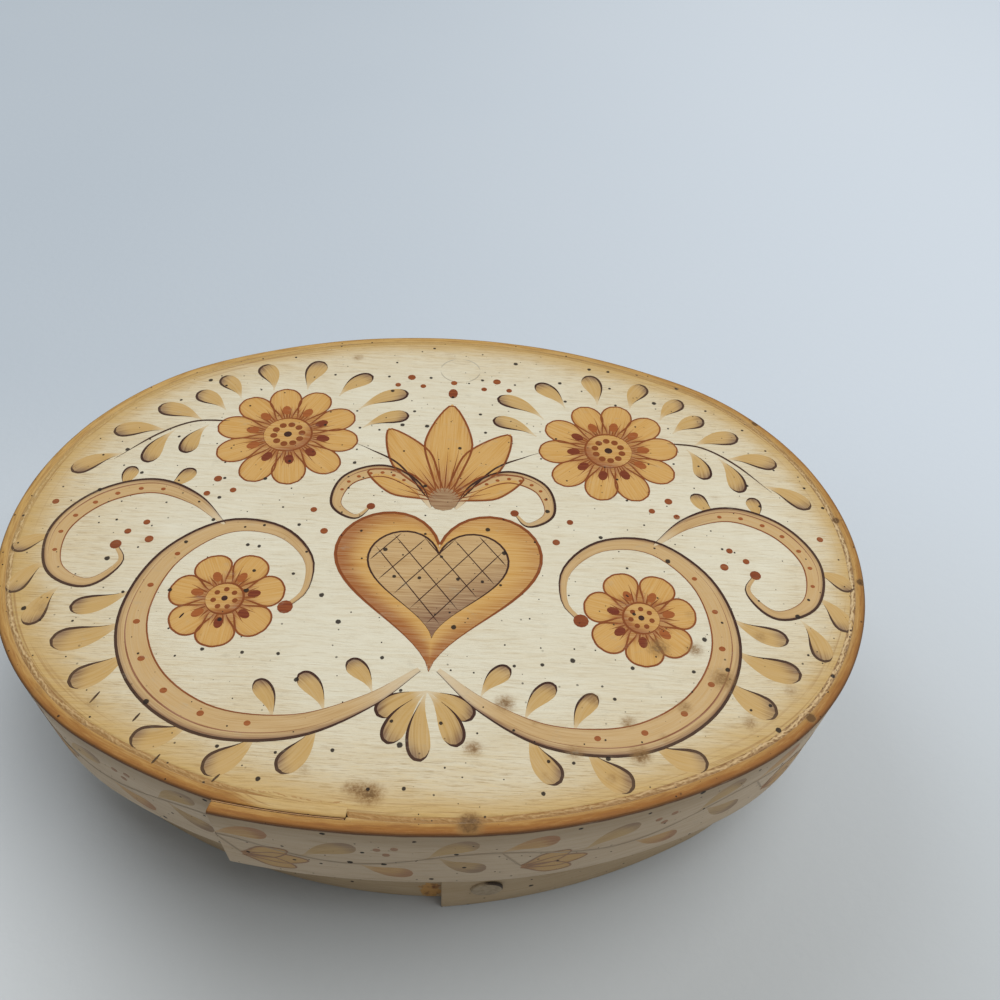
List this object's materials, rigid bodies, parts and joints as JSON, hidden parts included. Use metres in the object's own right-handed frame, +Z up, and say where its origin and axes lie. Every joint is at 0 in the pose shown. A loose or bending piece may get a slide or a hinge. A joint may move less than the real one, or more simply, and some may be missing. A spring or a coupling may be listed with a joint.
{
  "type": "oval bentwood box",
  "caption": "Oval lapped bentwood box with a lift-off lid, painted cream with aged amber edges and a folk floral design.",
  "frame": {"origin": "centre of the oval on the underside of the bottom board, where the box rests", "axes": "+X along the oval's length, +Z up, the two lapped ends on the -Y side"},
  "size_m": [0.201, 0.1471, 0.05],
  "materials": {
    "painted_lid": "satin paint, aged",
    "painted_base": "satin paint, aged",
    "filler": "cracked filler",
    "glue": "hide glue",
    "bare_pine": "bare wood",
    "painted_rivet": "painted",
    "bare_rivet": "dull",
    "brad": "dull"
  },
  "bodies": {
    "base": {"base_band": "painted_base", "base_brad_1": "brad", "base_brad_2": "brad", "base_brad_3": "brad", "base_brad_4": "brad", "base_brad_5": "brad", "base_brad_6": "brad", "base_brad_7": "brad", "base_brad_8": "brad", "base_lap_glue": "glue", "base_panel": "bare_pine", "base_rivet_lower": "painted_rivet", "base_rivet_upper": "bare_rivet", "base_rove_lower": "bare_rivet", "base_rove_upper": "bare_rivet"},
    "lid": {"lid_band": "painted_lid", "lid_brad_1": "brad", "lid_brad_2": "brad", "lid_brad_3": "brad", "lid_brad_4": "brad", "lid_brad_5": "brad", "lid_brad_6": "brad", "lid_brad_7": "brad", "lid_brad_8": "brad", "lid_lap_glue": "glue", "lid_panel": "painted_lid", "lid_seam_filler": "filler"}
  },
  "joints": [
    {"name": "lid_lift", "type": "slide", "parent": "base", "child": "lid", "axis": [0, 0, 1], "range_m": [0, 0.04]}
  ]
}
